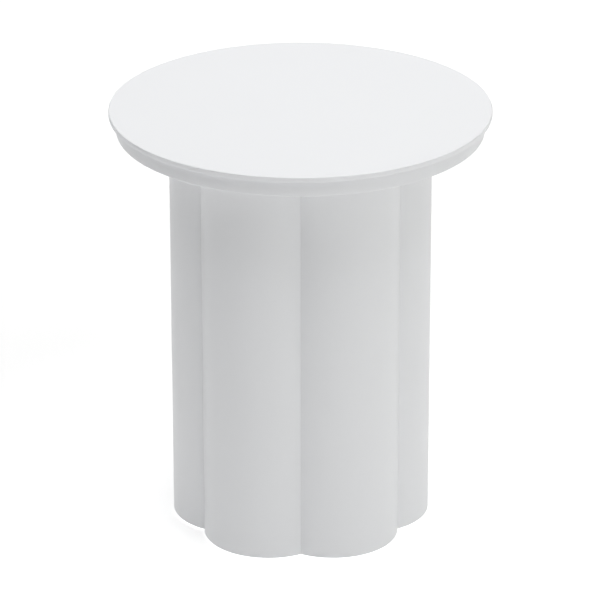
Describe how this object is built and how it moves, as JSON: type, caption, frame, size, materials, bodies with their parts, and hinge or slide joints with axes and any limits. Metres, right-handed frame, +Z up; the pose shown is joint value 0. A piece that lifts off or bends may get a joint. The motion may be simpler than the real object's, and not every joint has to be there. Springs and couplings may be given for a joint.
{
  "type": "pedestal end table",
  "caption": "Round end table with a thin round top on an apron disc, over a hollow pedestal of rounded lobes, with hidden levelling feet.",
  "frame": {"origin": "on the floor under the middle of the table, with the feet screwed right in", "axes": "+Z up along the pedestal's axis; -Y to the front, where a crease between two lobes faces; +X to the right"},
  "size_m": [0.45, 0.45, 0.52],
  "materials": {
    "white_lacquered_board": "fibreboard sprayed with white satin lacquer, faint orange peel",
    "raw_fibreboard": "uncoated fibreboard, fine and matt, brown",
    "pine": "planed pine, straight grain, unfinished",
    "beech": "turned beech dowel, fluted, unfinished",
    "zinc_plated_steel": "bright zinc plate, slightly clouded",
    "white_nylon": "moulded nylon, matt"
  },
  "bodies": {
    "table": {"top_panel": "white_lacquered_board", "apron_disc": "white_lacquered_board", "lobe_stave_1": "white_lacquered_board", "lobe_stave_2": "white_lacquered_board", "lobe_stave_3": "white_lacquered_board", "lobe_stave_4": "white_lacquered_board", "lobe_stave_5": "white_lacquered_board", "lobe_stave_6": "white_lacquered_board", "top_former": "raw_fibreboard", "mid_former": "raw_fibreboard", "bottom_former": "raw_fibreboard", "crease_batten_1": "pine", "crease_batten_2": "pine", "crease_batten_3": "pine", "crease_batten_4": "pine", "crease_batten_5": "pine", "crease_batten_6": "pine", "locating_dowels": "beech", "tie_rod": "zinc_plated_steel", "tie_rod_tee_nut": "zinc_plated_steel", "tie_rod_washer": "zinc_plated_steel", "tie_rod_nut": "zinc_plated_steel", "top_former_screws": "zinc_plated_steel", "bottom_former_screws": "zinc_plated_steel", "foot_inserts": "zinc_plated_steel"},
    "foot_pad_1": {"foot_pad_1": "white_nylon"},
    "foot_pad_2": {"foot_pad_2": "white_nylon"},
    "foot_pad_3": {"foot_pad_3": "white_nylon"},
    "foot_pad_4": {"foot_pad_4": "white_nylon"},
    "foot_pad_5": {"foot_pad_5": "white_nylon"},
    "foot_pad_6": {"foot_pad_6": "white_nylon"},
    "foot_stem_1": {"foot_stem_1": "zinc_plated_steel"},
    "foot_stem_2": {"foot_stem_2": "zinc_plated_steel"},
    "foot_stem_3": {"foot_stem_3": "zinc_plated_steel"},
    "foot_stem_4": {"foot_stem_4": "zinc_plated_steel"},
    "foot_stem_5": {"foot_stem_5": "zinc_plated_steel"},
    "foot_stem_6": {"foot_stem_6": "zinc_plated_steel"}
  },
  "joints": [
    {"name": "foot_lift_1", "type": "slide", "parent": "table", "child": "foot_pad_1", "axis": [0, 0, -1], "range_m": [0, 0.008]},
    {"name": "foot_turn_1", "type": "hinge", "parent": "foot_pad_1", "child": "foot_stem_1", "pos_m": [0.114, 0, 0.02], "axis": [0, 0, -1], "range_deg": [0, 2304]},
    {"name": "foot_lift_2", "type": "slide", "parent": "table", "child": "foot_pad_2", "axis": [0, 0, -1], "range_m": [0, 0.008]},
    {"name": "foot_turn_2", "type": "hinge", "parent": "foot_pad_2", "child": "foot_stem_2", "pos_m": [0.057, 0.09873, 0.02], "axis": [0, 0, -1], "range_deg": [0, 2304]},
    {"name": "foot_lift_3", "type": "slide", "parent": "table", "child": "foot_pad_3", "axis": [0, 0, -1], "range_m": [0, 0.008]},
    {"name": "foot_turn_3", "type": "hinge", "parent": "foot_pad_3", "child": "foot_stem_3", "pos_m": [-0.057, 0.09873, 0.02], "axis": [0, 0, -1], "range_deg": [0, 2304]},
    {"name": "foot_lift_4", "type": "slide", "parent": "table", "child": "foot_pad_4", "axis": [0, 0, -1], "range_m": [0, 0.008]},
    {"name": "foot_turn_4", "type": "hinge", "parent": "foot_pad_4", "child": "foot_stem_4", "pos_m": [-0.114, 0, 0.02], "axis": [0, 0, -1], "range_deg": [0, 2304]},
    {"name": "foot_lift_5", "type": "slide", "parent": "table", "child": "foot_pad_5", "axis": [0, 0, -1], "range_m": [0, 0.008]},
    {"name": "foot_turn_5", "type": "hinge", "parent": "foot_pad_5", "child": "foot_stem_5", "pos_m": [-0.057, -0.09873, 0.02], "axis": [0, 0, -1], "range_deg": [0, 2304]},
    {"name": "foot_lift_6", "type": "slide", "parent": "table", "child": "foot_pad_6", "axis": [0, 0, -1], "range_m": [0, 0.008]},
    {"name": "foot_turn_6", "type": "hinge", "parent": "foot_pad_6", "child": "foot_stem_6", "pos_m": [0.057, -0.09873, 0.02], "axis": [0, 0, -1], "range_deg": [0, 2304]}
  ],
  "couplings": [
    {"joint": "foot_turn_1", "follows": "foot_lift_1", "rad_per_m": 5026.5},
    {"joint": "foot_turn_2", "follows": "foot_lift_2", "rad_per_m": 5026.5},
    {"joint": "foot_turn_3", "follows": "foot_lift_3", "rad_per_m": 5026.5},
    {"joint": "foot_turn_4", "follows": "foot_lift_4", "rad_per_m": 5026.5},
    {"joint": "foot_turn_5", "follows": "foot_lift_5", "rad_per_m": 5026.5},
    {"joint": "foot_turn_6", "follows": "foot_lift_6", "rad_per_m": 5026.5}
  ]
}
